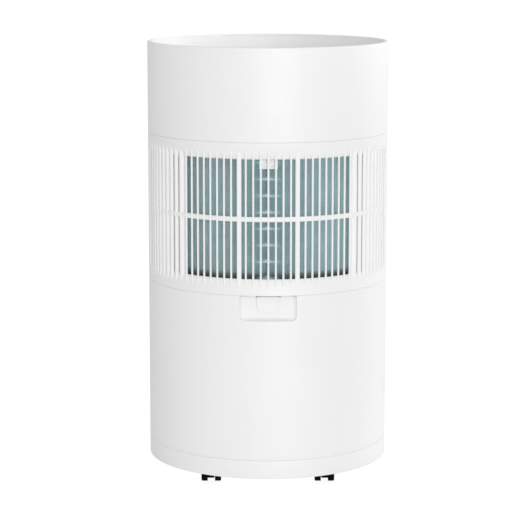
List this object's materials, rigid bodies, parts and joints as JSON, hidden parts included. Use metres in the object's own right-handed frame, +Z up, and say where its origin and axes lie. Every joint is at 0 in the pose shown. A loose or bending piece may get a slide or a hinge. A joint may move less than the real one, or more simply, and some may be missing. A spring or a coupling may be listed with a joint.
{
  "type": "portable air conditioner",
  "caption": "Cylindrical floor-standing air conditioner with a finned intake grille that pulls off, a louvred outlet in a sunken top, an exhaust port at the back and swivelling castors.",
  "frame": {"origin": "on the floor, under the middle of the cylindrical body", "axes": "+Z up; -Y out of the intake grille; +Y out of the exhaust port; +X to the right of someone who faces the grille"},
  "size_m": [0.38, 0.38, 0.684],
  "materials": {
    "white_plastic": "satin moulded, cool white",
    "black_plastic": "satin moulded, black",
    "grey_plastic": "matte moulded, grey",
    "button_plastic": "satin moulded, light grey",
    "dark_lens": "polished, smoke black",
    "circuit_board": "lacquered laminate, green",
    "filter_mesh": "woven plastic screen, grey",
    "white_foam": "expanded foam, white",
    "rubber": "moulded, black",
    "steel": "turned, bright",
    "zinc_plate": "zinc plated sheet",
    "copper": "drawn tube, bare copper",
    "coated_fins": "blue-green hydrophilic coating",
    "bare_fins": "mill finish",
    "compressor_paint": "semi-gloss black paint"
  },
  "bodies": {
    "cabinet": {"base_pan": "white_plastic", "lower_front_casing": "white_plastic", "rear_casing": "white_plastic", "top_collar": "white_plastic", "top_deck": "white_plastic", "control_panel": "black_plastic", "display_lens": "dark_lens", "control_board": "circuit_board", "evaporator_coil": "coated_fins", "condenser_coil": "bare_fins", "compressor": "compressor_paint", "accumulator": "compressor_paint", "rubber_mount_1": "rubber", "rubber_mount_2": "rubber", "rubber_mount_3": "rubber", "discharge_pipe": "copper", "suction_pipe": "copper", "liquid_pipe": "copper", "drip_tray": "white_foam", "chassis_post_left": "zinc_plate", "chassis_post_right": "zinc_plate", "fan_shroud": "white_foam", "fan_motor": "zinc_plate", "blower_housing": "white_foam", "blower_motor": "zinc_plate", "exhaust_duct": "grey_plastic", "exhaust_collar": "white_plastic", "electrical_box": "grey_plastic", "cord_gland": "rubber"},
    "grille_panel": {"intake_grille": "white_plastic", "filter_frame": "white_plastic", "filter_screen": "filter_mesh"},
    "latch": {"latch_tab": "white_plastic"},
    "blade_1": {"outlet_blade_1": "white_plastic"},
    "blade_2": {"outlet_blade_2": "white_plastic"},
    "blade_3": {"outlet_blade_3": "white_plastic"},
    "power_button": {"button_power": "button_plastic"},
    "mode_button": {"button_mode": "button_plastic"},
    "speed_button": {"button_speed": "button_plastic"},
    "down_button": {"button_down": "button_plastic"},
    "up_button": {"button_up": "button_plastic"},
    "upper_fan": {"fan_wheel": "grey_plastic"},
    "lower_blower": {"blower_wheel": "black_plastic"},
    "plug": {"drain_plug": "rubber"},
    "castor_front_left": {"castor_hood_front_left": "black_plastic"},
    "wheels_front_left": {"castor_wheel_front_left_left": "black_plastic", "castor_wheel_front_left_right": "black_plastic", "castor_axle_front_left": "steel"},
    "castor_front_right": {"castor_hood_front_right": "black_plastic"},
    "wheels_front_right": {"castor_wheel_front_right_left": "black_plastic", "castor_wheel_front_right_right": "black_plastic", "castor_axle_front_right": "steel"},
    "castor_rear_left": {"castor_hood_rear_left": "black_plastic"},
    "wheels_rear_left": {"castor_wheel_rear_left_left": "black_plastic", "castor_wheel_rear_left_right": "black_plastic", "castor_axle_rear_left": "steel"},
    "castor_rear_right": {"castor_hood_rear_right": "black_plastic"},
    "wheels_rear_right": {"castor_wheel_rear_right_left": "black_plastic", "castor_wheel_rear_right_right": "black_plastic", "castor_axle_rear_right": "steel"}
  },
  "joints": [
    {"name": "grille_pull", "type": "slide", "parent": "cabinet", "child": "grille_panel", "axis": [0, -1, 0], "range_m": [0, 0.1]},
    {"name": "latch_press", "type": "slide", "parent": "cabinet", "child": "latch", "axis": [0, 1, 0], "range_m": [0, 0.0025], "stiffness_N_per_m": 600, "springref_m": -0.001},
    {"name": "blade_1_tilt", "type": "hinge", "parent": "cabinet", "child": "blade_1", "pos_m": [0, -0.0005, 0.6278], "axis": [1, 0, 0], "range_deg": [0, 75]},
    {"name": "blade_2_tilt", "type": "hinge", "parent": "cabinet", "child": "blade_2", "pos_m": [0, 0.03, 0.6278], "axis": [1, 0, 0], "range_deg": [0, 75]},
    {"name": "blade_3_tilt", "type": "hinge", "parent": "cabinet", "child": "blade_3", "pos_m": [0, 0.0605, 0.6278], "axis": [1, 0, 0], "range_deg": [0, 75]},
    {"name": "power_press", "type": "slide", "parent": "cabinet", "child": "power_button", "axis": [0, 0, -1], "range_m": [0, 0.0012], "stiffness_N_per_m": 300, "springref_m": -0.0005},
    {"name": "mode_press", "type": "slide", "parent": "cabinet", "child": "mode_button", "axis": [0, 0, -1], "range_m": [0, 0.0012], "stiffness_N_per_m": 300, "springref_m": -0.0005},
    {"name": "speed_press", "type": "slide", "parent": "cabinet", "child": "speed_button", "axis": [0, 0, -1], "range_m": [0, 0.0012], "stiffness_N_per_m": 300, "springref_m": -0.0005},
    {"name": "down_press", "type": "slide", "parent": "cabinet", "child": "down_button", "axis": [0, 0, -1], "range_m": [0, 0.0012], "stiffness_N_per_m": 300, "springref_m": -0.0005},
    {"name": "up_press", "type": "slide", "parent": "cabinet", "child": "up_button", "axis": [0, 0, -1], "range_m": [0, 0.0012], "stiffness_N_per_m": 300, "springref_m": -0.0005},
    {"name": "upper_fan_spin", "type": "hinge", "parent": "cabinet", "child": "upper_fan", "pos_m": [0, 0, 0.573], "axis": [0, 0, 1], "continuous": true},
    {"name": "lower_blower_spin", "type": "hinge", "parent": "cabinet", "child": "lower_blower", "pos_m": [0, 0.042, 0.165], "axis": [0, 1, 0], "continuous": true},
    {"name": "drain_plug_pull", "type": "slide", "parent": "cabinet", "child": "plug", "axis": [0.309, 0.9511, 0], "range_m": [0, 0.02]},
    {"name": "front_left_swivel", "type": "hinge", "parent": "cabinet", "child": "castor_front_left", "pos_m": [-0.0889, -0.1245, 0.0397], "axis": [0, 0, 1], "continuous": true},
    {"name": "front_left_roll", "type": "hinge", "parent": "castor_front_left", "child": "wheels_front_left", "pos_m": [-0.0889, -0.1165, 0.015], "axis": [1, 0, 0], "continuous": true},
    {"name": "front_right_swivel", "type": "hinge", "parent": "cabinet", "child": "castor_front_right", "pos_m": [0.0889, -0.1245, 0.0397], "axis": [0, 0, 1], "continuous": true},
    {"name": "front_right_roll", "type": "hinge", "parent": "castor_front_right", "child": "wheels_front_right", "pos_m": [0.0889, -0.1165, 0.015], "axis": [1, 0, 0], "continuous": true},
    {"name": "rear_left_swivel", "type": "hinge", "parent": "cabinet", "child": "castor_rear_left", "pos_m": [-0.0889, 0.1245, 0.0397], "axis": [0, 0, 1], "continuous": true},
    {"name": "rear_left_roll", "type": "hinge", "parent": "castor_rear_left", "child": "wheels_rear_left", "pos_m": [-0.0889, 0.1325, 0.015], "axis": [1, 0, 0], "continuous": true},
    {"name": "rear_right_swivel", "type": "hinge", "parent": "cabinet", "child": "castor_rear_right", "pos_m": [0.0889, 0.1245, 0.0397], "axis": [0, 0, 1], "continuous": true},
    {"name": "rear_right_roll", "type": "hinge", "parent": "castor_rear_right", "child": "wheels_rear_right", "pos_m": [0.0889, 0.1325, 0.015], "axis": [1, 0, 0], "continuous": true}
  ],
  "couplings": [
    {"joint": "blade_2_tilt", "follows": "blade_1_tilt", "ratio": 1},
    {"joint": "blade_3_tilt", "follows": "blade_1_tilt", "ratio": 1}
  ]
}
